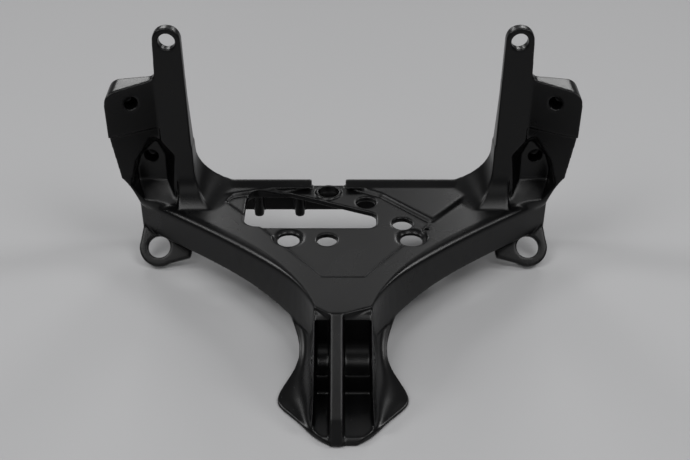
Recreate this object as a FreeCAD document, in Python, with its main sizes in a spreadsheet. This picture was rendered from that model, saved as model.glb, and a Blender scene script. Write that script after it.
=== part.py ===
# Fairing stay of a motorcycle: one die-cast light-alloy bracket, painted satin black.
# A forked foot bolts to the steering head, a Y-shaped deck carries the instruments,
# and two uprights at the ends of its arms carry the mirrors and the upper fairing.
# Frame: X to the right, Y from the foot towards the uprights, Z up from the surface it stands on.
import FreeCAD
import Part
import Sketcher
import math
import os
import re

NODE = "fairing_stay"

# Driving dimensions in millimetres, one row of the sheet each.
SIZES = {
    # Deck and arms
    "deck_top": 45.0,
    "deck_wall": 5.0,
    "side_wall": 4.0,
    "arm_depth": 25.0,
    "shoulder_drop": 4.0,
    "shoulder_width": 6.4,
    "neck_half": 17.0,
    "neck_front": -37.0,
    "neck_lip": 6.0,
    "neck_flare": 9.0,
    "waist_x": 29.0,
    "waist_y": -9.0,
    "arm_x": 53.0,
    "arm_y": 21.7,
    "elbow_x": 89.0,
    "elbow_y": 51.1,
    "knee_x": 118.0,
    "knee_y": 73.0,
    "end_x": 137.0,
    "end_y": 80.0,
    "rear_y": 97.0,
    "skirt_depth": 20.0,
    "skirt_wall": 3.0,
    "skirt_half": 82.0,
    "lamp_boss": 7.0,
    "lamp_boss_drop": 2.0,
    "lamp_inner": 30.0,
    "lamp_outer": 58.0,
    "lamp_pilot": 3.4,
    "lamp_pilot_depth": 10.0,
    # Instrument seat on the deck
    "seat_depth": 1.2,
    "seat_front_half": 13.0,
    "seat_front": -8.0,
    "seat_mid_half": 57.0,
    "seat_mid": 50.0,
    "seat_rear_half": 82.0,
    "seat_rear": 79.0,
    "step_height": 3.0,
    "step_x": 25.0,
    "step_y": 81.0,
    "step_bevel": 2.0,
    "seat_lap": 1.0,
    "rim_height": 2.0,
    "rim_width": 9.0,
    "notch_x": -10.0,
    "notch_width": 23.0,
    # Grommet seats and plain holes in the deck
    "grommet_left": -35.0,
    "grommet_right": 43.5,
    "grommet_y": 34.4,
    "grommet_bore": 14.0,
    "grommet_seat": 20.4,
    "grommet_sink": 1.6,
    "grommet_land": 0.7,
    "rear_grommet_y": 86.8,
    "rear_grommet_bore": 13.5,
    "collar": 19.0,
    "collar_top": 16.5,
    "collar_height": 1.5,
    "plain_hole": 12.8,
    "hole_left_x": -10.4,
    "hole_left_y": 32.7,
    "hole_right_x": 38.3,
    "hole_right_y": 50.6,
    "hole_rear_x": 15.2,
    "hole_rear_y": 75.3,
    "pit_x": 53.8,
    "pit_y": 43.0,
    "pit_bore": 3.0,
    "pit_depth": 2.0,
    # Wiring window
    "window_left": -65.0,
    "window_right": 21.5,
    "window_front": 46.0,
    "window_rear": 86.5,
    "window_slant_x": -36.0,
    "window_slant_y": 62.0,
    "window_corner": 6.0,
    "window_end": 9.0,
    # Foot
    "foot_slope": 32.4,
    "foot_end": -104.5,
    "foot_half": 17.3,
    "leaf_half": 38.0,
    "leaf_y": -72.0,
    "tip_half": 8.0,
    "leaf_lip": 2.5,
    "fork_half": 16.4,
    "fork_roof": 4.5,
    "bolt_y": -54.0,
    "bolt_z": 23.5,
    "bolt_bore": 11.0,
    "bolt_room": 13.0,
    "fork_floor": 4.0,
    "fork_flare": 1.4,
    "web_x": -3.7,
    "web_width": 8.0,
    "web_proud": 3.0,
    "web_tip": -106.0,
    # Uprights
    "post_in": 98.0,
    "post_width": 20.0,
    "post_top": 168.5,
    "post_top_width": 17.2,
    "post_lean": 1.4,
    "post_eye_drop": 9.0,
    "post_bore": 10.5,
    "post_face": 77.0,
    "post_plate": 7.0,
    "post_root": 34.0,
    "gusset_top": 122.0,
    "ramp_height": 24.0,
    "ramp_depth": 13.0,
    "root_front": 12.0,
    # Mirror wings
    "wing_out": 148.0,
    "wing_top": 134.0,
    "wing_drop": 3.0,
    "wing_corner": 8.0,
    "wing_sweep": 26.0,
    "wing_wall": 4.5,
    "pad_bottom": 100.0,
    "wing_recess": 2.0,
    "wing_foot": 68.0,
    "wing_foot_out": 144.0,
    "mirror_edge": 15.6,
    "mirror_z": 121.0,
    "wing_hole_edge": 17.0,
    "wing_hole_z": 73.5,
    "mirror_bore": 8.5,
    "mirror_boss": 15.0,
    "mirror_depth": 11.0,
    "wing_hole_depth": 9.0,
    "boss_floor": 2.0,
    "groove": 8.4,
    "pocket_back": 86.0,
    "pocket_apex": 93.0,
    "pocket_bend": 79.0,
    "pocket_roof": 85.0,
    "pocket_sill": 56.0,
    "pocket_in": 117.5,
    "pocket_out": 137.5,
    "pocket_rim": 5.5,
    # Lower lugs
    "lug_x": 125.3,
    "lug_y": 67.3,
    "lug_bore": 15.0,
    "lug_radius": 13.4,
    "lug_wall": 5.0,
    "lug_tilt": 45.0,
}

# Room in millimetres by which a cutting shape runs past the part.
CLEAR = 20

doc = FreeCAD.newDocument(NODE)
sheet = doc.addObject("Spreadsheet::Sheet", "Sizes")
for row, (alias, value) in enumerate(SIZES.items(), start=1):
    sheet.set(f"A{row}", alias)
    sheet.set(f"B{row}", str(value))
    sheet.setAlias(f"B{row}", alias)
doc.recompute()


def bind(text):
    """Turn plain size names into references to the sheet's cells."""
    return re.sub(r"[a-z_]+", lambda word: f"Sizes.{word[0]}" if word[0] in SIZES else word[0], str(text))


def size(text):
    """The number that a size, or a sum of sizes, stands for."""
    return float(sheet.evalExpression(bind(text)))


def vector(x, y, z):
    return FreeCAD.Vector(size(x), size(y), size(z))


# Each plane's role, and the sign with which a sketch's own normal runs along the model's axis.
PLANES = {"Z": ("XY_Plane", 1), "Y": ("XZ_Plane", -1), "X": ("YZ_Plane", 1)}


def prism(name, axis, points, low, high):
    """A body padded along an axis, from low to high, with a polygon whose corners follow the sheet."""
    role, sign = PLANES[axis]
    body = doc.addObject("PartDesign::Body", name)
    sketch = body.newObject("Sketcher::SketchObject", name + "_outline")
    plane = next(feature for feature in body.Origin.OriginFeatures if feature.Role == role)
    sketch.AttachmentSupport = [(plane, "")]
    sketch.MapMode = "FlatFace"
    start = low if sign > 0 else high
    sketch.setExpression("AttachmentOffset.Base.z", bind(f"{sign} * ({start})"))
    corners = [FreeCAD.Vector(size(a), size(b), 0) for a, b in points]
    count = len(corners)
    for i in range(count):
        sketch.addGeometry(Part.LineSegment(corners[i], corners[(i + 1) % count]), False)
    for i in range(count):
        sketch.addConstraint(Sketcher.Constraint("Coincident", i, 2, (i + 1) % count, 1))
    for i, corner in enumerate(points):
        for kind, text in zip(("DistanceX", "DistanceY"), corner):
            index = sketch.addConstraint(Sketcher.Constraint(kind, -1, 1, i, 1, size(text)))
            sketch.setExpression(f"Constraints[{index}]", bind(text))
    pad = body.newObject("PartDesign::Pad", name + "_pad")
    pad.Profile = sketch
    pad.setExpression("Length", bind(f"({high}) - ({low})"))
    doc.recompute()
    return body


def round_corners(body, axis, corners, radius):
    """Round the edges of a prism that stand over the named corners of its outline."""
    base = body.Tip
    picked = []
    for index, edge in enumerate(base.Shape.Edges, start=1):
        ends = [vertex.Point for vertex in edge.Vertexes]
        if len(ends) < 2:
            continue
        run = ends[1] - ends[0]
        across = {"X": (run.y, run.z), "Y": (run.x, run.z), "Z": (run.x, run.y)}[axis]
        at = {"X": (ends[0].y, ends[0].z), "Y": (ends[0].x, ends[0].z), "Z": (ends[0].x, ends[0].y)}[axis]
        if math.hypot(*across) > 0.001:
            continue
        if any(math.hypot(at[0] - size(a), at[1] - size(b)) < 0.01 for a, b in corners):
            picked.append(f"Edge{index}")
    fillet = body.newObject("PartDesign::Fillet", body.Name + "_round")
    fillet.Base = (base, picked)
    fillet.setExpression("Radius", bind(radius))
    body.Tip = fillet
    doc.recompute()
    return body


def bevel_top(body, level, sides, width):
    """Bevel those edges of a prism's top that run between the named pairs of corners."""
    base = body.Tip
    wanted = [[vector(*first, level), vector(*last, level)] for first, last in sides]
    picked = []
    for index, edge in enumerate(base.Shape.Edges, start=1):
        ends = [vertex.Point for vertex in edge.Vertexes]
        if any(all(min((end - goal).Length for goal in pair) < 0.01 for end in ends) for pair in wanted):
            picked.append(f"Edge{index}")
    bevel = body.newObject("PartDesign::Chamfer", body.Name + "_bevel")
    bevel.Base = (base, picked)
    bevel.setExpression("Size", bind(width))
    body.Tip = bevel
    doc.recompute()
    return body


def cone(name, low_diameter, high_diameter, centre, low, high):
    """An upright cone between two levels."""
    shape = doc.addObject("Part::Cone", name)
    shape.setExpression("Radius1", bind(f"({low_diameter}) / 2"))
    shape.setExpression("Radius2", bind(f"({high_diameter}) / 2"))
    shape.setExpression("Height", bind(f"({high}) - ({low})"))
    for letter, text in zip("xyz", (*centre, low)):
        shape.setExpression(f"Placement.Base.{letter}", bind(text))
    return shape


def cylinder(name, axis, diameter, centre, low, high):
    """A straight round along X, Y or Z, from low to high; centre gives the two other coordinates."""
    shape = doc.addObject("Part::Cylinder", name)
    shape.setExpression("Radius", bind(f"({diameter}) / 2"))
    shape.setExpression("Height", bind(f"({high}) - ({low})"))
    turn = {"X": ((0, 1, 0), 90), "Y": ((1, 0, 0), -90), "Z": ((0, 0, 1), 0)}[axis]
    rotation = FreeCAD.Rotation(FreeCAD.Vector(*turn[0]), turn[1])
    shape.Placement = FreeCAD.Placement(FreeCAD.Vector(), rotation)
    names = [letter for letter in "xyz" if letter != axis.lower()]
    for letter, text in zip(names, centre):
        shape.setExpression(f"Placement.Base.{letter}", bind(text))
    shape.setExpression(f"Placement.Base.{axis.lower()}", bind(low))
    return shape


def gather(kind, name, shapes):
    """A union or an intersection of several shapes."""
    result = doc.addObject(kind, name)
    result.Shapes = shapes
    result.Refine = True
    doc.recompute()
    return result


def cut(name, base, tool):
    result = doc.addObject("Part::Cut", name)
    result.Base = base
    result.Tool = tool
    result.Refine = True
    doc.recompute()
    return result


def mirrored(name, source):
    """The same shape on the other side of the middle plane."""
    result = doc.addObject("Part::Mirroring", name)
    result.Source = source
    result.Normal = FreeCAD.Vector(1, 0, 0)
    doc.recompute()
    return result


def loft(name, wires, ruled):
    sections = []
    for index, wire in enumerate(wires, start=1):
        section = doc.addObject("Part::Feature", f"{name}_section_{index}")
        section.Shape = wire
        sections.append(section)
    result = doc.addObject("Part::Loft", name)
    result.Sections = sections
    result.Solid = True
    result.Ruled = ruled
    doc.recompute()
    return result


# Plan outline of the deck: five points along the right arm's edge, its end, and the mirror image.
# Each point also has its share of the sloping shoulder and of the flare at the foot of the wall.
ARM = [
    ("neck_half", "neck_front", 0.05, 0.1),
    ("waist_x", "waist_y", 0.45, 0.4),
    ("arm_x", "arm_y", 1.0, 0.15),
    ("elbow_x", "elbow_y", 1.0, 0.0),
    ("knee_x", "knee_y", 1.0, 0.0),
]


def deck_wire(height, shoulder, flare, end_grow, inset=0.0):
    """The deck's closed outline at one height, moved out by shoulder and flare, or in by inset."""
    edge = [FreeCAD.Vector(size(x), size(y), 0) for x, y, _, _ in ARM]
    curve = Part.BSplineCurve()
    curve.interpolate(edge)
    moved = []
    for point, (_, _, share, spread) in zip(edge, ARM):
        along = curve.tangent(curve.parameter(point))[0]
        outward = FreeCAD.Vector(along.y, -along.x, 0)
        outward.normalize()
        moved.append(point + outward * (shoulder * share + flare * spread - inset))
    front = size("neck_front") + inset
    moved[0] = FreeCAD.Vector(moved[0].x, front, 0)
    corner_x = size("end_x") - size("shoulder_width") + end_grow - inset
    corner = FreeCAD.Vector(corner_x, size("end_y"), 0)
    rear = FreeCAD.Vector(corner_x, size("rear_y") - (size("skirt_wall") if inset else 0), 0)
    side = Part.BSplineCurve()
    side.interpolate(moved)
    left = [FreeCAD.Vector(-p.x, p.y, 0) for p in moved]
    left_side = Part.BSplineCurve()
    left_side.interpolate(list(reversed(left)))
    left_corner = FreeCAD.Vector(-corner.x, corner.y, 0)
    left_rear = FreeCAD.Vector(-rear.x, rear.y, 0)
    edges = [
        Part.LineSegment(left[0], moved[0]).toShape(),
        side.toShape(),
        Part.LineSegment(moved[-1], corner).toShape(),
        Part.LineSegment(corner, rear).toShape(),
        Part.LineSegment(rear, left_rear).toShape(),
        Part.LineSegment(left_rear, left_corner).toShape(),
        Part.LineSegment(left_corner, left[-1]).toShape(),
        left_side.toShape(),
    ]
    wire = Part.Wire(edges)
    wire.translate(FreeCAD.Vector(0, 0, height))
    return wire


# Deck and arms: walls that lean out towards the neck, and a rounded shoulder below the deck's edge.
deck_top = size("deck_top")
arm_foot = deck_top - size("arm_depth")
shoulder_z = deck_top - size("shoulder_drop")
shoulder_width = size("shoulder_width")
hull = loft("deck_and_arms", [
    deck_wire(arm_foot, shoulder_width, size("neck_flare"), shoulder_width),
] + [
    deck_wire(deck_top - size("shoulder_drop") * (1 - math.cos(turn)), shoulder_width * math.sin(turn), 0,
              shoulder_width * math.sin(turn))
    for turn in (math.radians(90), math.radians(60), math.radians(30), 0)
], True)


neck_front = size("neck_front")

# Crown of the foot: how far it stays below the deck and above the sloping face, and above the lip.
CROWN_BELOW_DECK = 1.5
CROWN_ABOVE_FACE = 2
CROWN_ABOVE_LIP = 1
# Flank of the foot: how far out, and how far up, the bends of its hollow curve lie.
FLANK_OUT = 0.24
FLANK_UP = 0.36


def foot_wire(y, top_half, rim_half, rim_z):
    """A cross-section of the foot: a flat crown, and flanks that sweep out to a thin lip."""
    face_z = deck_top + (y - neck_front) * math.tan(math.radians(size("foot_slope")))
    crown = min(deck_top - CROWN_BELOW_DECK, face_z + CROWN_ABOVE_FACE)
    lip_z = min(rim_z + size("leaf_lip"), crown - CROWN_ABOVE_LIP)
    rim = FreeCAD.Vector(rim_half, y, rim_z)
    lip = FreeCAD.Vector(rim_half, y, lip_z)
    spread = FreeCAD.Vector(top_half + FLANK_OUT * (rim_half - top_half), y, lip_z)
    bend = FreeCAD.Vector(top_half, y, lip_z + FLANK_UP * (crown - lip_z))
    top = FreeCAD.Vector(top_half, y, crown)
    right = [rim, lip, spread, bend, top]
    left = [FreeCAD.Vector(-p.x, p.y, p.z) for p in right]
    flank = Part.BezierCurve()
    flank.setPoles(right[1:])
    left_flank = Part.BezierCurve()
    left_flank.setPoles(left[:0:-1])
    return Part.Wire([
        Part.LineSegment(rim, lip).toShape(),
        flank.toShape(),
        Part.LineSegment(top, left[-1]).toShape(),
        left_flank.toShape(),
        Part.LineSegment(left[1], left[0]).toShape(),
        Part.LineSegment(left[0], rim).toShape(),
    ])


# Foot: a column that runs down from the neck and spreads into a leaf-shaped rim.
foot_half = size("foot_half")
neck_half = size("neck_half")
leaf_half = size("leaf_half")
tip_half = size("tip_half")
leaf_y = size("leaf_y")
foot_end = size("foot_end")
waist_half = neck_half + size("neck_flare")
# Each section has its place along the foot, half the width of crown and rim, and the rim's height.
foot = loft("foot_column", [
    foot_wire(size("waist_y"), size("waist_x") - size("side_wall"), size("waist_x") + 5, arm_foot),
    foot_wire((size("waist_y") + neck_front) / 2, neck_half + 3, waist_half + 3.5, arm_foot * 0.8),
    foot_wire(neck_front, neck_half + 0.6, waist_half + 0.5, arm_foot * 0.5),
    foot_wire((neck_front + leaf_y) / 2, foot_half, (waist_half + leaf_half) / 2, arm_foot * 0.2),
    foot_wire(leaf_y, foot_half, leaf_half, 0.0),
    foot_wire(leaf_y * 0.65 + foot_end * 0.35, foot_half, leaf_half * 0.77, 0.0),
    foot_wire(leaf_y * 0.36 + foot_end * 0.64, foot_half, leaf_half * 0.56, 0.0),
    foot_wire(leaf_y * 0.14 + foot_end * 0.86, tip_half * 1.7, tip_half * 1.85, 0.0),
    foot_wire(foot_end, tip_half, tip_half, 0.0),
], False)

# Everything in front of the foot's sloping face is cleared away.
FACE_REACH = f"(neck_front - web_tip + {CLEAR})"
slope_cut = prism("foot_face", "X", [
    ("neck_front", "deck_top"),
    (f"neck_front - {FACE_REACH}", f"deck_top - {FACE_REACH} * tan(foot_slope * 1deg)"),
    (f"neck_front - {FACE_REACH}", f"deck_top + {CLEAR}"),
    ("neck_front", f"deck_top + {CLEAR}"),
], f"-leaf_half - {CLEAR}", f"leaf_half + {CLEAR}")
foot_column = cut("foot_sloped", foot, slope_cut)
floor_cut = prism("floor_cut", "X", [
    (f"web_tip - {CLEAR}", f"-{CLEAR}"),
    ("neck_front", f"-{CLEAR}"),
    ("neck_front", "0"),
    (f"web_tip - {CLEAR}", "0"),
], f"-leaf_half - {CLEAR}", f"leaf_half + {CLEAR}")
foot_column = cut("foot_flat", foot_column, floor_cut)
shell = gather("Part::MultiFuse", "outer_form", [hull, foot_column])

# Hollow underside of deck and arms.
wall = size("side_wall")
roof = deck_top - size("deck_wall")
hollow = loft("underside", [
    deck_wire(-1, shoulder_width, 0, shoulder_width, wall),
    deck_wire(shoulder_z - size("deck_wall"), shoulder_width, 0, shoulder_width, wall),
    deck_wire(roof, 0, 0, 0, wall),
], True)
shell = cut("cast_shell", shell, hollow)

# Fork of the foot: a slot for the frame's lugs, hollowed round the cross bolt. A lip holds the bolt's
# hollow in front, and below it a thin floor runs out between walls that open a little.
LIP_Y = "bolt_y - 0.92 * bolt_room"
LIP_Z = "bolt_z - 0.39 * bolt_room"
fork_slot = prism("fork_slot", "X", [
    ("bolt_y + bolt_room", "deck_top - fork_roof"),
    ("bolt_y + bolt_room", "bolt_z"),
    ("bolt_y", "bolt_z"),
    (LIP_Y, LIP_Z),
    (LIP_Y, "fork_floor"),
    (f"web_tip - {CLEAR}", "fork_floor"),
    (f"web_tip - {CLEAR}", "deck_top - fork_roof"),
], "-fork_half", "fork_half")
fork_mouth = prism("fork_mouth", "Z", [
    ("-fork_half", LIP_Y),
    ("-fork_half - fork_flare", f"web_tip - {CLEAR}"),
    ("fork_half + fork_flare", f"web_tip - {CLEAR}"),
    ("fork_half", LIP_Y),
], "fork_floor", "deck_top - fork_roof")
bolt_room = cylinder("bolt_room", "X", "2 * bolt_room", ("bolt_y", "bolt_z"), "-fork_half", "fork_half")
fork_space = gather("Part::MultiFuse", "fork_space", [fork_slot, fork_mouth, bolt_room])
shell = cut("forked_shell", shell, fork_space)

# Lip of the deck over the fork, and the web that divides the fork and runs on as the foot's toe.
neck_lip = prism("neck_lip", "Z", [
    ("-neck_half", "neck_front"),
    ("web_x - 0.7 * web_width", "neck_front - neck_lip"),
    ("web_x + 0.8 * web_width", "neck_front - neck_lip"),
    ("neck_half", "neck_front"),
    ("neck_half", "neck_front + side_wall"),
    ("-neck_half", "neck_front + side_wall"),
], "deck_top - fork_roof", "deck_top")
FACE = "deck_top + web_proud / cos(foot_slope * 1deg) - {} * tan(foot_slope * 1deg)"
web = prism("web", "X", [
    ("bolt_y + bolt_room + side_wall / 2", "deck_top - fork_roof / 2"),
    ("neck_front - neck_lip", "deck_top"),
    ("neck_front - neck_lip - 9", FACE.format("(neck_lip + 9)")),
    ("web_tip + 10.5", FACE.format("(neck_front - web_tip - 10.5)")),
    ("web_tip", "1.5"),
    ("web_tip + 1.5", "0"),
    ("foot_end + 6", "0"),
    ("bolt_y", "arm_depth * 0.2"),
    ("bolt_y + bolt_room + side_wall / 2", "bolt_z - bolt_room / 2"),
], "web_x - web_width / 2", "web_x + web_width / 2")

# Instrument seat: a shallow field in the deck, with a raised step on both sides of the rear notch.
seat = prism("seat", "Z", [
    ("-seat_front_half", "seat_front"),
    ("seat_front_half", "seat_front"),
    ("seat_mid_half", "seat_mid"),
    ("seat_rear_half", "seat_rear"),
    ("seat_rear_half", "rear_y + 1"),
    ("-seat_rear_half", "rear_y + 1"),
    ("-seat_rear_half", "seat_rear"),
    ("-seat_mid_half", "seat_mid"),
], "deck_top - seat_depth", "deck_top + 10")
shell = cut("seat_shell", shell, seat)
STEP_TOP = "deck_top - seat_depth + step_height"
NOTCH_LEFT = "notch_x - notch_width / 2"
NOTCH_RIGHT = "notch_x + notch_width / 2"
STEP_FOOT = "deck_top - deck_wall / 2 - seat_depth"
STEP_MID = ("seat_mid_half + seat_lap", "seat_mid - seat_lap")
STEP_SIDE = ("seat_rear_half + seat_lap", "seat_rear - seat_lap")
STEP_BEND = ("step_x", "step_y")
STEP_END = (NOTCH_RIGHT, "rear_y - 4")
step_right = prism("step_right", "Z", [
    STEP_MID,
    STEP_SIDE,
    ("seat_rear_half + seat_lap", "rear_y"),
    (NOTCH_RIGHT, "rear_y"),
    STEP_END,
    STEP_BEND,
], STEP_FOOT, STEP_TOP)
RIGHT_BEVELS = [(STEP_SIDE, STEP_MID), (STEP_MID, STEP_BEND), (STEP_BEND, STEP_END)]
bevel_top(step_right, STEP_TOP, RIGHT_BEVELS, "step_bevel")
LEFT_SIDE = ("-seat_rear_half - seat_lap", "seat_rear - seat_lap")
LEFT_BEND = ("window_left - 3", "window_rear - 4")
LEFT_END = (NOTCH_LEFT, "rear_y - 5")
step_left = prism("step_left", "Z", [
    (NOTCH_LEFT, "rear_y"),
    ("-seat_rear_half - seat_lap", "rear_y"),
    LEFT_SIDE,
    LEFT_BEND,
    LEFT_END,
], STEP_FOOT, STEP_TOP)
bevel_top(step_left, STEP_TOP, [(LEFT_SIDE, LEFT_BEND), (LEFT_BEND, LEFT_END)], "step_bevel")
collar = cone("grommet_collar", "collar", "collar_top", ("notch_x", "rear_grommet_y"), STEP_FOOT,
              "deck_top - seat_depth + collar_height")
rim = prism("rear_rim", "X", [
    ("rear_y - rim_width", STEP_TOP + " - 0.5"),
    ("rear_y", STEP_TOP + " - 0.5"),
    ("rear_y", STEP_TOP + " + rim_height"),
    ("rear_y - side_wall / 2", STEP_TOP + " + rim_height"),
    ("rear_y - rim_width", STEP_TOP),
], "-post_in", "post_in")
notch = prism("rear_notch", "Z", [
    (NOTCH_LEFT, "rear_y - rim_width - 5"),
    (NOTCH_RIGHT, "rear_y - rim_width - 5"),
    (NOTCH_RIGHT, "rear_y + 5"),
    (NOTCH_LEFT, "rear_y + 5"),
], "deck_top - seat_depth", f"deck_top + {CLEAR}")
rim = cut("rim_notched", rim, notch)

# Uprights: the front outline of post and wing, rounded at its corners.
REAR_TOP = STEP_TOP + " + rim_height"
outline = prism("upright_outline", "Y", [
    ("post_in", "deck_top - deck_wall"),
    ("post_in + post_lean", "post_top"),
    ("post_in + post_lean + post_top_width", "post_top"),
    ("post_in + post_width", "wing_top"),
    ("wing_out", "wing_top - wing_drop"),
    ("wing_out", "pad_bottom"),
    ("wing_foot_out", "wing_foot"),
    ("end_x", "deck_top"),
    ("end_x", "deck_top - deck_wall"),
], "post_face - 40", "rear_y")
POST_TOP_CORNERS = [
    ("post_in + post_lean", "post_top"),
    ("post_in + post_lean + post_top_width", "post_top"),
]
round_corners(outline, "Y", POST_TOP_CORNERS, "post_top_width * 0.49")
round_corners(outline, "Y", [("wing_out", "wing_top - wing_drop")], "wing_corner")
round_corners(outline, "Y", [("post_in + post_width", "wing_top")], "wing_wall")

# Post: a flat strap that thickens backwards into the deck's rear edge.
POST_REAR = "post_face + post_plate"
post_side = prism("post_side", "X", [
    ("post_face", "deck_top - deck_wall"),
    ("post_face", "post_top + 1"),
    (POST_REAR, "post_top + 1"),
    (POST_REAR, "gusset_top"),
    ("rear_y", REAR_TOP + " + 2"),
    ("rear_y", "deck_top - deck_wall"),
], "post_in - post_root - 3", "post_in + post_width")
post = gather("Part::MultiCommon", "post", [outline, post_side])

# Root: the post's inner side spreads on the deck, wide at the rear edge and narrow in front, where
# the post's face runs out on the deck in a hollow ramp.
RAMP_TURN = "((ramp_depth ^ 2 + ramp_height ^ 2) / (2 * ramp_depth))"
RIDGE = "post_in + post_width - groove"
ramp_block = prism("ramp_block", "X", [
    ("post_face - ramp_depth", "deck_top - deck_wall / 2"),
    ("post_face + 1", "deck_top - deck_wall / 2"),
    ("post_face + 1", "deck_top + ramp_height"),
    ("post_face - ramp_depth", "deck_top + ramp_height"),
], "post_in - post_root", RIDGE)
RAMP_CENTRE = (f"post_face - {RAMP_TURN}", "deck_top + ramp_height")
ramp_round = cylinder("ramp_round", "X", f"2 * {RAMP_TURN}", RAMP_CENTRE, "post_in - post_root - 1",
                      "post_in + post_width")
ramp = cut("ramp", ramp_block, ramp_round)


def root_wire(y, base, radius):
    """An upright section of the root: the post's width, with a quarter round on its inner side."""
    inner = size("post_in")
    outer = size("post_in + post_width - 1")
    low = size("deck_top - deck_wall / 2")
    high = size(STEP_TOP) + size("post_root") + 4
    centre = FreeCAD.Vector(inner - radius, y, base + radius)
    middle = centre + FreeCAD.Vector(math.sqrt(0.5), 0, -math.sqrt(0.5)) * radius
    path = [(inner, high), (outer, high), (outer, low), (inner - radius, low), (inner - radius, base)]
    points = [FreeCAD.Vector(x, y, z) for x, z in path]
    start = FreeCAD.Vector(inner, y, base + radius)
    edges = [Part.LineSegment(first, last).toShape() for first, last in zip([start] + points[:-1], points)]
    edges.append(Part.Arc(points[-1], middle, start).toShape())
    return Part.Wire(edges)


root_form = loft("root_form", [
    root_wire(size("post_face - ramp_depth - 1"), deck_top, size("root_front")),
    root_wire(size("rear_y"), size(STEP_TOP), size("post_root")),
], True)
root_side = gather("Part::MultiFuse", "root_side", [post_side, ramp])
root = gather("Part::MultiCommon", "root", [root_form, root_side])

# Wing: a swept mirror seat over a recessed lower face.
SWEEP = "(({}) - post_in - post_width) * tan(wing_sweep * 1deg)"


def wing_front(x, back="0"):
    """How far back the wing's swept face lies at x."""
    return f"post_face + {back} - " + SWEEP.format(x)


seat_plan = prism("mirror_seat_plan", "Z", [
    ("post_in + post_width - 2", wing_front("post_in + post_width - 2")),
    ("wing_out", wing_front("wing_out")),
    ("wing_out", POST_REAR),
    ("post_in + post_width - 2", POST_REAR),
], "pad_bottom", "post_top")
mirror_seat = gather("Part::MultiCommon", "mirror_seat", [seat_plan, outline])


def knee_wire(height, inner, outer, outer_rear):
    """A level section of the knee: front corners inside and outside, and the rear edge."""
    rear = size(POST_REAR)
    inside = size("post_in + post_width / 2")
    corners = [inner, outer, (outer_rear, rear), (inside, rear)]
    points = [FreeCAD.Vector(x, y, height) for x, y in corners]
    return Part.makePolygon(points + points[:1])


# Knee: the arm's shoulder turns up, in a hollow curve, into the wing's lower face.
recess = size("wing_recess")
foot_out = size("wing_foot_out")
wing_foot = size("wing_foot")
inner_x = size("post_in + post_width")
knee_x = size("knee_x")
knee_y = size("knee_y")
end_x = size("end_x")
low_face = size(wing_front("wing_foot_out", "wing_recess"))
knee = loft("knee", [
    knee_wire(shoulder_z - 1, (knee_x - 10, knee_y - 12), (end_x - 2, size("end_y") - 3), end_x - 1),
    knee_wire(deck_top + 1, (knee_x - 7, knee_y - 4), (end_x - 1.5, knee_y - 1), end_x),
    knee_wire((deck_top + wing_foot) / 2, (knee_x - 4, knee_y + 3), (end_x + 1, low_face + 2), end_x + 2),
    knee_wire(wing_foot, (inner_x - 1, size("post_face") + recess), (foot_out, low_face), foot_out),
], False)
lower_wing = loft("lower_wing", [
    knee_wire(wing_foot, (inner_x - 1, size("post_face") + recess), (foot_out, low_face), foot_out),
    knee_wire(size("pad_bottom"), (inner_x + 1, size("post_face") + recess),
              (size("wing_out"), size(wing_front("wing_out", "wing_recess"))), size("wing_out")),
], True)

# The wing's foot thickens backwards with the post.
wing_side = prism("wing_side", "X", [
    (POST_REAR + " - wing_wall", "deck_top - deck_wall"),
    (POST_REAR + " - wing_wall", "gusset_top"),
    (POST_REAR, "gusset_top"),
    ("rear_y", REAR_TOP + " + 2"),
    ("rear_y", "deck_top - deck_wall"),
], "post_in + post_width / 2", "wing_out")
wing_back = gather("Part::MultiCommon", "wing_back", [wing_side, outline])

# Behind the mirror seat the wing is open at the rear, with an even wall.
HOLLOW_IN = "post_in + post_width + wing_wall"
HOLLOW_OUT = "wing_foot_out - wing_wall"
HOLLOW_WALL = "wing_wall + wing_recess"
wing_hollow = prism("wing_hollow", "Z", [
    (HOLLOW_IN, "rear_y"),
    (HOLLOW_IN, wing_front(HOLLOW_IN, HOLLOW_WALL)),
    (HOLLOW_OUT, wing_front(HOLLOW_OUT, HOLLOW_WALL)),
    (HOLLOW_OUT, "rear_y"),
], "pad_bottom - wing_wall", "wing_top - wing_drop - wing_wall")
wing_solid = gather("Part::MultiFuse", "wing_solid", [knee, lower_wing, mirror_seat, wing_back])
wing = cut("wing", wing_solid, wing_hollow)

# Pocket below the mirror seat: a three-cornered mouth that narrows backwards over a sloping sill.
# Each corner has its place at the mouth, how far back the mouth lies there, and its place at the back.
POST_EDGE = "post_in + post_width"
INNER_FACE = "post_face"
OUTER_FACE = "post_face - 2 * pocket_rim + 1"
POCKET = [
    (POST_EDGE + " + 2", "pocket_apex", INNER_FACE, "pocket_in + 4", "pocket_roof"),
    (RIDGE, "pocket_bend", INNER_FACE, "pocket_in", "pocket_bend - 4"),
    (RIDGE, "deck_top + 0.6", INNER_FACE + " - ramp_depth / 2", "pocket_in", "pocket_sill"),
    ("end_x - pocket_rim - 2", "deck_top + 0.6", OUTER_FACE, "pocket_out", "pocket_sill"),
    ("wing_foot_out - pocket_rim", "wing_foot - 6", OUTER_FACE, "pocket_out", "pocket_sill + 8"),
    ("pocket_out - 3.5", "pocket_bend + 1", OUTER_FACE, "pocket_out - 3.5", "pocket_bend - 4"),
    (POST_EDGE + " + 6.5", "pocket_apex", INNER_FACE, "pocket_in + 7", "pocket_roof"),
]


def pocket_wire(corners):
    points = [vector(*corner) for corner in corners]
    return Part.makePolygon(points + points[:1])


pocket = loft("wing_pocket", [
    pocket_wire([(x, "post_face - 40", z) for x, z, _, _, _ in POCKET]),
    pocket_wire([(x, y, z) for x, z, y, _, _ in POCKET]),
    pocket_wire([(x, "pocket_back", z) for _, _, _, x, z in POCKET]),
], True)

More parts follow.
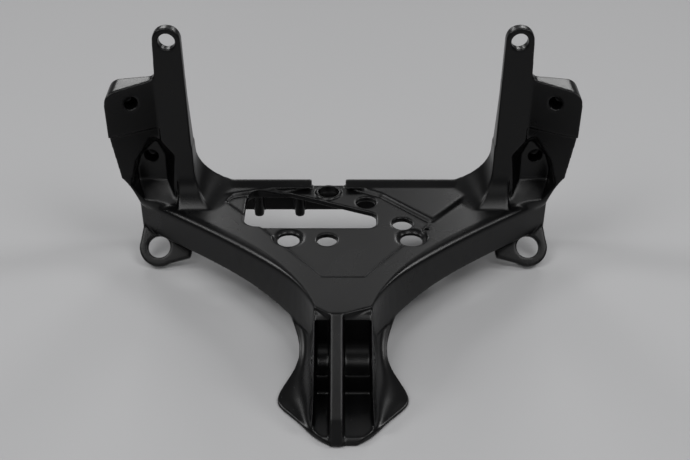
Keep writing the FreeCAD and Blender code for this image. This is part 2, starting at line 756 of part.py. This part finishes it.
# Blind bosses for the mirror's bolts, square to the mirror seat and to the pocket's back.
across = FreeCAD.Rotation(FreeCAD.Vector(0, 0, 1), -size("wing_sweep")).multiply(
    FreeCAD.Rotation(FreeCAD.Vector(1, 0, 0), -90))
MIRROR_X = "wing_out - mirror_edge"
WING_HOLE = ("wing_foot_out - wing_hole_edge", "wing_hole_z")


def mirror_round(name, diameter, near, far):
    """A round square to the mirror seat, between two depths behind the seat's face."""
    shape = doc.addObject("Part::Cylinder", name)
    shape.setExpression("Radius", bind(f"({diameter}) / 2"))
    shape.setExpression("Height", bind(f"({far}) - ({near})"))
    face = vector(MIRROR_X, wing_front(MIRROR_X), "mirror_z")
    shape.Placement = FreeCAD.Placement(face + across.multVec(FreeCAD.Vector(0, 0, size(near))), across)
    return shape


mirror_boss = mirror_round("mirror_boss", "mirror_boss", "boss_floor", "mirror_depth + boss_floor")
wing_boss = cylinder("wing_boss", "Y", "mirror_boss", WING_HOLE, "pocket_back + boss_floor",
                     "pocket_back + wing_hole_depth + boss_floor")
upright_solid = gather("Part::MultiFuse", "upright_solid", [post, root, wing, mirror_boss, wing_boss])
upright = cut("upright", upright_solid, pocket)

# Lower lug: an eye that leans back under the end of the arm.
lug_plate = prism("lug_plate", "Z", [
    ("lug_radius * 0.1", "-lug_radius"),
    ("-lug_radius * 1.6", "-lug_radius * 0.55"),
    ("-lug_radius * 1.9", "lug_radius"),
    ("0", "lug_radius * 1.9"),
    ("lug_radius * 0.75", "lug_radius * 1.5"),
    ("lug_radius", "0"),
], "-lug_wall", "0")
lug_eye = cylinder("lug_eye", "Z", "2 * lug_radius", ("0", "0"), "-lug_wall", "0")
lug = gather("Part::MultiFuse", "lug", [lug_plate, lug_eye])
lean = FreeCAD.Rotation(FreeCAD.Vector(1, 0, 0), size("lug_tilt"))
# The eye's rear rim just touches the standing surface.
LUG_Z = "lug_radius * sin(lug_tilt * 1deg) + lug_wall * cos(lug_tilt * 1deg)"
lug.Placement = FreeCAD.Placement(vector("lug_x", "lug_y", LUG_Z), lean)
doc.recompute()

right_side = gather("Part::MultiFuse", "right_side", [upright, lug])

# Rear skirt: shallower than the arms, with bosses for the lamp's screws on its inner side.
skirt_relief = prism("skirt_relief", "Z", [
    ("-skirt_half", "rear_y - skirt_wall - 1"),
    ("skirt_half", "rear_y - skirt_wall - 1"),
    ("skirt_half", "rear_y + 1"),
    ("-skirt_half", "rear_y + 1"),
], "-1", "deck_top - skirt_depth")
shell = cut("skirted_shell", shell, skirt_relief)
LAMP_Y = "rear_y - skirt_wall - lamp_boss / 3"
LAMP_FOOT = "deck_top - skirt_depth - lamp_boss_drop"
lamp_bosses = []
lamp_pilots = []
LAMPS = [
    ("lamp_a", "-lamp_outer"),
    ("lamp_b", "-lamp_inner"),
    ("lamp_c", "lamp_inner"),
    ("lamp_d", "lamp_outer"),
]
for name, x in LAMPS:
    lamp_bosses.append(cylinder(name, "Z", "lamp_boss", (x, LAMP_Y), LAMP_FOOT, STEP_FOOT))
    lamp_pilots.append(cylinder(name + "_pilot", "Z", "lamp_pilot", (x, LAMP_Y), LAMP_FOOT + " - 1",
                                LAMP_FOOT + " + lamp_pilot_depth"))
left_side = mirrored("left_side", right_side)
deck_pieces = [shell, neck_lip, web, step_right, step_left, collar, rim]
stay = gather("Part::MultiFuse", "stay", lamp_bosses + deck_pieces + [right_side, left_side])

# Holes: cross bolt, post eyes, mirror bolts, lugs, grommets and plain holes, wiring window.
bolt_hole = cylinder("bolt_hole", "X", "bolt_bore", ("bolt_y", "bolt_z"), "-leaf_half", "leaf_half")
bores = lamp_pilots + [bolt_hole]
for name, x, y, bore in (
    ("grommet_left_hole", "grommet_left", "grommet_y", "grommet_bore"),
    ("grommet_right_hole", "grommet_right", "grommet_y", "grommet_bore"),
    ("grommet_rear_hole", "notch_x", "rear_grommet_y", "rear_grommet_bore"),
    ("hole_left", "hole_left_x", "hole_left_y", "plain_hole"),
    ("hole_right", "hole_right_x", "hole_right_y", "plain_hole"),
    ("hole_rear", "hole_rear_x", "hole_rear_y", "plain_hole"),
):
    bores.append(cylinder(name, "Z", bore, (x, y), "deck_top - arm_depth", f"deck_top + {CLEAR}"))
for name, x in (("grommet_left_seat", "grommet_left"), ("grommet_right_seat", "grommet_right")):
    bores.append(cone(name, "grommet_bore + grommet_land", "grommet_seat", (x, "grommet_y"),
                      "deck_top - seat_depth - grommet_sink", "deck_top - seat_depth"))
    bores.append(cylinder(name + "_clear", "Z", "grommet_seat", (x, "grommet_y"), "deck_top - seat_depth",
                          f"deck_top + {CLEAR}"))
bores.append(cylinder("pit", "Z", "pit_bore", ("pit_x", "pit_y"), "deck_top - seat_depth - pit_depth",
                      f"deck_top + {CLEAR}"))
window = prism("window", "Z", [
    ("window_left", "window_front"),
    ("window_right", "window_front"),
    ("window_right", "window_slant_y"),
    ("window_slant_x", "window_rear"),
    ("window_left", "window_rear"),
], "deck_top - arm_depth", f"deck_top + {CLEAR}")
round_corners(window, "Z", [("window_left", "window_front"), ("window_left", "window_rear")], "window_end")
round_corners(window, "Z", [("window_right", "window_front"), ("window_right", "window_slant_y"),
                            ("window_slant_x", "window_rear")], "window_corner")
bores.append(window)

POST_EYE = ("post_in + post_lean + post_top_width / 2", "post_top - post_eye_drop")
post_eye = cylinder("post_eye", "Y", "post_bore", POST_EYE, "post_face - 10", "rear_y")
lug_hole = doc.addObject("Part::Cylinder", "lug_hole")
lug_hole.setExpression("Radius", bind("lug_bore / 2"))
lug_hole.setExpression("Height", bind("2.2 * lug_wall"))
lug_hole.Placement = FreeCAD.Placement(
    vector("lug_x", "lug_y", LUG_Z) - lean.multVec(FreeCAD.Vector(0, 0, size("2 * lug_wall"))), lean)
side_bores = [post_eye, lug_hole]
side_bores.append(mirror_round("mirror_hole", "mirror_bore", f"-{CLEAR}", "mirror_depth"))
side_bores.append(cylinder("wing_hole", "Y", "mirror_bore", WING_HOLE, "pocket_back - wing_wall",
                           "pocket_back + wing_hole_depth"))
doc.recompute()
side_holes = gather("Part::MultiFuse", "side_holes", side_bores)
all_holes = gather("Part::MultiFuse", "all_holes", bores + [side_holes, mirrored("left_holes", side_holes)])
finished = cut("finished", stay, all_holes)

# The origin lies on the standing surface, under the middle of the part's length and width.
finished.setExpression("Placement.Base.y", bind("-(web_tip + rear_y) / 2"))
doc.recompute()

for item in doc.Objects:
    if "Invalid" in item.State or "Error" in item.State:
        raise RuntimeError(f"{item.Name} failed: {item.State}")
print("finished", finished.Shape.Volume, finished.Shape.isValid(), len(finished.Shape.Solids))
finished.Label = NODE
os.makedirs("parts", exist_ok=True)
finished.Shape.exportStep(f"parts/{NODE}.step")
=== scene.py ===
# %% [markdown]
# A fairing stay is the cast bracket at the front of a motorcycle. Its forked foot is bolted to the
# steering head, its deck carries the instruments, and its two uprights hold the mirrors and the fairing.
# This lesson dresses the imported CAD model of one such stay: it softens the edges as a mould does,
# paints the casting satin black, and sets it on a pale floor under soft light.

# %% Load the model
import math

import bpy
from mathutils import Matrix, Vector


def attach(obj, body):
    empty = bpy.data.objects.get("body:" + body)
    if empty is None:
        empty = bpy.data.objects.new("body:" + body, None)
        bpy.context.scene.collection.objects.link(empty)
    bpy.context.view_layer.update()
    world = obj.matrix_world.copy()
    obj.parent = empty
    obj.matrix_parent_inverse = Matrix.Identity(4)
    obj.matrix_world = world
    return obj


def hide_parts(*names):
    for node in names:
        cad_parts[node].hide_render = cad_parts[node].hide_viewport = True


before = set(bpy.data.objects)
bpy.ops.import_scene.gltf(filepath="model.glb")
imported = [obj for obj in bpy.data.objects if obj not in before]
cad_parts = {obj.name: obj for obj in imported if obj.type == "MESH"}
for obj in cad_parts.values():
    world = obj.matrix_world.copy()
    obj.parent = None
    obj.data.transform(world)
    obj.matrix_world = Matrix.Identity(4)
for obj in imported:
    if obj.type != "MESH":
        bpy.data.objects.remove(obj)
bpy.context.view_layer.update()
stay_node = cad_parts["fairing_stay"]


# %% [markdown]
# The camera comes first, because each later choice is judged through it. It stands in front of the foot
# and looks down on the deck. The angle, the distance and the lens were worked out once, before the part was
# measured, and stand here as plain numbers. A near camera matters: it makes the fork look larger than the
# posts, which a long lens from far away would not.

# %% Camera
CAMERA_AT = Vector((0.0011, -0.5255, 0.445))
CAMERA_PITCH = math.radians(35)
SENSOR_WIDTH = 36
FOCAL_LENGTH = 56.6

bpy.ops.object.select_all(action="DESELECT")
bpy.ops.object.camera_add(location=CAMERA_AT, rotation=(math.radians(90) - CAMERA_PITCH, 0, 0))
camera = bpy.context.object
camera.name = "camera"
camera.data.sensor_width = SENSOR_WIDTH
camera.data.lens = FOCAL_LENGTH
bpy.context.scene.camera = camera
print("camera", camera.location[:], "lens", camera.data.lens)

# %% [markdown]
# A casting has no sharp edge: metal doesn't fill a knife-sharp corner of the mould, and paint rounds it
# further. A bevel on each edge would need clean edges, and the model's faces meet in many odd corners.
# So the part is copied, its loose triangles are merged, and a fine voxel remesh makes one even skin
# of it. Some rounds of smoothing then give all corners the same small radius, inside and outside.
# Last, normals that are weighted by the area of the faces keep the flat faces of the deck flat to the eye.

# %% Soft-edged copy of the casting
VOXEL = 0.0005
SMOOTHING = 0.5
SMOOTHING_ROUNDS = 32
MERGE_DISTANCE = 0.00001
FLAT_WEIGHT = 80
TRIANGLES = 190000


def apply_modifier(piece, kind, **settings):
    modifier = piece.modifiers.new(kind.lower(), kind)
    for setting, value in settings.items():
        setattr(modifier, setting, value)
    bpy.context.view_layer.objects.active = piece
    bpy.ops.object.modifier_apply(modifier=modifier.name)


bpy.ops.object.select_all(action="DESELECT")
stay_node.select_set(True)
bpy.context.view_layer.objects.active = stay_node
bpy.ops.object.duplicate()
casting = bpy.context.object
casting.name = "casting"
bpy.ops.object.mode_set(mode="EDIT")
bpy.ops.mesh.select_all(action="SELECT")
bpy.ops.mesh.remove_doubles(threshold=MERGE_DISTANCE)
bpy.ops.object.mode_set(mode="OBJECT")
apply_modifier(casting, "REMESH", mode="VOXEL", voxel_size=VOXEL, adaptivity=0.0)
apply_modifier(casting, "SMOOTH", factor=SMOOTHING, iterations=SMOOTHING_ROUNDS)
faces_now = len(casting.data.polygons) * 2
if faces_now > TRIANGLES:
    apply_modifier(casting, "DECIMATE", ratio=TRIANGLES / faces_now)
bpy.ops.object.shade_smooth()
apply_modifier(casting, "WEIGHTED_NORMAL", weight=FLAT_WEIGHT)
print("casting", len(casting.data.vertices), "points from", faces_now, "triangles")

# %% [markdown]
# The finish is a satin black stove enamel on light alloy. Close up, it has a fine orange peel from
# spraying, slow changes of sheen where it was handled, and a little pale dust on the faces that look up.
# The peel and the dust are node groups, so that another painted part could use them too.

# %% Orange peel of sprayed paint
def new_group(name, inputs, outputs):
    group = bpy.data.node_groups.new(name, "ShaderNodeTree")
    for label, kind, default in inputs:
        socket = group.interface.new_socket(name=label, in_out="INPUT", socket_type=kind)
        if default is not None:
            socket.default_value = default
    for label, kind in outputs:
        group.interface.new_socket(name=label, in_out="OUTPUT", socket_type=kind)
    return group, group.nodes.new("NodeGroupInput"), group.nodes.new("NodeGroupOutput")


def noise(tree, place, scale, detail):
    node = tree.nodes.new("ShaderNodeTexNoise")
    node.inputs["Scale"].default_value = scale
    node.inputs["Detail"].default_value = detail
    tree.links.new(place, node.inputs["Vector"])
    return node.outputs["Fac"]


def mix_values(tree, operation, first, second):
    node = tree.nodes.new("ShaderNodeMath")
    node.operation = operation
    for socket, value in zip(node.inputs, (first, second)):
        if isinstance(value, (int, float)):
            socket.default_value = value
        else:
            tree.links.new(value, socket)
    return node.outputs["Value"]


def spread(tree, value, low, high, to_low, to_high):
    node = tree.nodes.new("ShaderNodeMapRange")
    node.inputs["From Min"].default_value = low
    node.inputs["From Max"].default_value = high
    node.inputs["To Min"].default_value = to_low
    node.inputs["To Max"].default_value = to_high
    tree.links.new(value, node.inputs["Value"])
    return node.outputs["Result"]


PEEL_SCALE = 900
PEEL_DETAIL = 2
GRAIN_SCALE = 3200
GRAIN_DETAIL = 3
GRAIN_SHARE = 0.6

peel_group, peel_in, peel_out = new_group("sprayed_peel", [("Place", "NodeSocketVector", None)],
                                          [("Height", "NodeSocketFloat")])
peel = noise(peel_group, peel_in.outputs["Place"], PEEL_SCALE, PEEL_DETAIL)
grain = noise(peel_group, peel_in.outputs["Place"], GRAIN_SCALE, GRAIN_DETAIL)
fine_grain = mix_values(peel_group, "MULTIPLY", grain, GRAIN_SHARE)
height = mix_values(peel_group, "ADD", peel, fine_grain)
peel_group.links.new(height, peel_out.inputs["Height"])
print("group", peel_group.name, len(peel_group.nodes), "nodes")

# %% Dust on faces that look up
SPECK_SCALE = 420
SPECK_CORE = 0.05
SPECK_EDGE = 0.14
SPECKS_FROM = 0.93
SLOPE_BARE = 0.5
SLOPE_DUSTY = 0.95

dust_group, dust_in, dust_out = new_group(
    "settled_dust", [("Place", "NodeSocketVector", None), ("Amount", "NodeSocketFloat", 0.5)],
    [("Mask", "NodeSocketFloat")])
cells = dust_group.nodes.new("ShaderNodeTexVoronoi")
cells.inputs["Scale"].default_value = SPECK_SCALE
dust_group.links.new(dust_in.outputs["Place"], cells.inputs["Vector"])
speck = spread(dust_group, cells.outputs["Distance"], SPECK_CORE, SPECK_EDGE, 1.0, 0.0)
chance = dust_group.nodes.new("ShaderNodeSeparateColor")
dust_group.links.new(cells.outputs["Color"], chance.inputs["Color"])
kept = mix_values(dust_group, "GREATER_THAN", chance.outputs["Red"], SPECKS_FROM)
facing = dust_group.nodes.new("ShaderNodeNewGeometry")
split = dust_group.nodes.new("ShaderNodeSeparateXYZ")
dust_group.links.new(facing.outputs["Normal"], split.inputs["Vector"])
upward = spread(dust_group, split.outputs["Z"], SLOPE_BARE, SLOPE_DUSTY, 0.0, 1.0)
specks = mix_values(dust_group, "MULTIPLY", speck, kept)
settled = mix_values(dust_group, "MULTIPLY", specks, upward)
mask = mix_values(dust_group, "MULTIPLY", settled, dust_in.outputs["Amount"])
dust_group.links.new(mask, dust_out.inputs["Mask"])
print("group", dust_group.name, len(dust_group.nodes), "nodes")

# %% Satin black enamel
ENAMEL_BLACK = (0.0022, 0.0022, 0.0024, 1)
DUST_GREY = (0.16, 0.16, 0.165, 1)
SHEEN_LOW = 0.26
SHEEN_HIGH = 0.33
GLOSS = 0.26
PEEL_DEPTH = 0.00002
PEEL_STRENGTH = 0.5
DUST_AMOUNT = 0.35
HANDLED_SCALE = 35
HANDLED_DETAIL = 3
HANDLED_LOW = 0.3
HANDLED_HIGH = 0.7

enamel = bpy.data.materials.new("satin_black_enamel")
enamel.use_nodes = True
tree = enamel.node_tree
shader = tree.nodes["Principled BSDF"]
shader.inputs["Specular IOR Level"].default_value = GLOSS
place = tree.nodes.new("ShaderNodeTexCoord").outputs["Object"]
peel_node = tree.nodes.new("ShaderNodeGroup")
peel_node.node_tree = peel_group
tree.links.new(place, peel_node.inputs["Place"])
bump = tree.nodes.new("ShaderNodeBump")
bump.inputs["Strength"].default_value = PEEL_STRENGTH
bump.inputs["Distance"].default_value = PEEL_DEPTH
tree.links.new(peel_node.outputs["Height"], bump.inputs["Height"])
tree.links.new(bump.outputs["Normal"], shader.inputs["Normal"])
dust_node = tree.nodes.new("ShaderNodeGroup")
dust_node.node_tree = dust_group
dust_node.inputs["Amount"].default_value = DUST_AMOUNT
tree.links.new(place, dust_node.inputs["Place"])
colour = tree.nodes.new("ShaderNodeMix")
colour.data_type = "RGBA"
colour.inputs["A"].default_value = ENAMEL_BLACK
colour.inputs["B"].default_value = DUST_GREY
tree.links.new(dust_node.outputs["Mask"], colour.inputs["Factor"])
tree.links.new(colour.outputs["Result"], shader.inputs["Base Color"])
handled = noise(tree, place, HANDLED_SCALE, HANDLED_DETAIL)
sheen = spread(tree, handled, HANDLED_LOW, HANDLED_HIGH, SHEEN_LOW, SHEEN_HIGH)
tree.links.new(sheen, shader.inputs["Roughness"])

casting.data.materials.clear()
casting.data.materials.append(enamel)
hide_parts("fairing_stay")
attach(casting, "root")
print("painted", casting.name, "with", enamel.name)

# %% [markdown]
# The stay stands on a plain pale sheet, large enough to fill the picture. A flat plane is all that this needs:
# it takes the soft shadow of the casting and is mirrored, darkly, in the faces that look down at it.

# %% Floor and backdrop
FLOOR_REACH = 5.0
PAPER_GREY = (0.42, 0.42, 0.425, 1)
PAPER_ROUGHNESS = 0.7

bpy.ops.object.select_all(action="DESELECT")
bpy.ops.mesh.primitive_plane_add(size=1, location=(0, 0, 0))
floor = bpy.context.object
floor.name = "floor"
floor.scale = (2 * FLOOR_REACH, 2 * FLOOR_REACH, 1)
bpy.ops.object.transform_apply(location=True, rotation=True, scale=True)
paper = bpy.data.materials.new("pale_paper")
paper.use_nodes = True
paper_shader = paper.node_tree.nodes["Principled BSDF"]
paper_shader.inputs["Base Color"].default_value = PAPER_GREY
paper_shader.inputs["Roughness"].default_value = PAPER_ROUGHNESS
floor.data.materials.append(paper)
print("floor", floor.dimensions[:])

# %% [markdown]
# Black enamel shows almost nothing but what it mirrors, so each lamp is placed where one kind of face looks.
# The two panels overhead are mirrored by the sloping roots of the posts and by the seats of the fork, the
# panels at the sides draw a bright line along the shoulders of the arms, and those at the rear give the deck
# its grey sheen and the tops of the wings their shine. The faces that look at the camera stay black.
# A dim panel in front is hardly seen from here, and shows the form of the stay to someone behind it.

# %% Light
def area_lamp(name, at, aim, width, depth, power):
    bpy.ops.object.select_all(action="DESELECT")
    bpy.ops.object.light_add(type="AREA", location=at)
    lamp = bpy.context.object
    lamp.name = name
    lamp.data.shape = "RECTANGLE"
    lamp.data.size = width
    lamp.data.size_y = depth
    lamp.data.energy = power
    lamp.rotation_euler = (Vector(aim) - Vector(at)).to_track_quat("-Z", "Y").to_euler()
    return lamp


# Each row: name, place, what it aims at, width, depth and power in watts. Paired lamps are mirrored in X.
PAIRED_LAMPS = (
    ("soft_top", (0.45, -0.35, 1.1), (0.1, 0, 0), 0.4, 0.75, 4.6),
    ("side_panel", (1.2, 0.3, 1.05), (0, 0.05, 0.05), 0.35, 0.35, 5.4),
    ("rear_panel", (0.58, 1.65, 0.9), (0, 0.05, 0.1), 0.5, 0.38, 4),
)
MIDDLE_LAMPS = (
    ("rear_panel", (0, 1.7, 1.4), (0, 0.05, 0.05), 1.2, 0.45, 2.1),
    ("front_panel", (0, -2.2, 1.1), (0, 0, 0.05), 2.4, 0.8, 5),
)
WORLD_COLOUR = (0.8, 0.81, 0.83, 1)
WORLD_STRENGTH = 0.12

for side, side_name in ((-1, "left"), (1, "right")):
    for name, (x, y, z), (aim_x, aim_y, aim_z), width, depth, power in PAIRED_LAMPS:
        area_lamp(f"{name}_{side_name}", (side * x, y, z), (side * aim_x, aim_y, aim_z), width, depth, power)
for name, at, aim, width, depth, power in MIDDLE_LAMPS:
    area_lamp(name, at, aim, width, depth, power)
world = bpy.data.worlds.new("studio")
bpy.context.scene.world = world
world.use_nodes = True
backdrop = world.node_tree.nodes["Background"]
backdrop.inputs["Color"].default_value = WORLD_COLOUR
backdrop.inputs["Strength"].default_value = WORLD_STRENGTH
bpy.context.scene.view_settings.view_transform = "Standard"
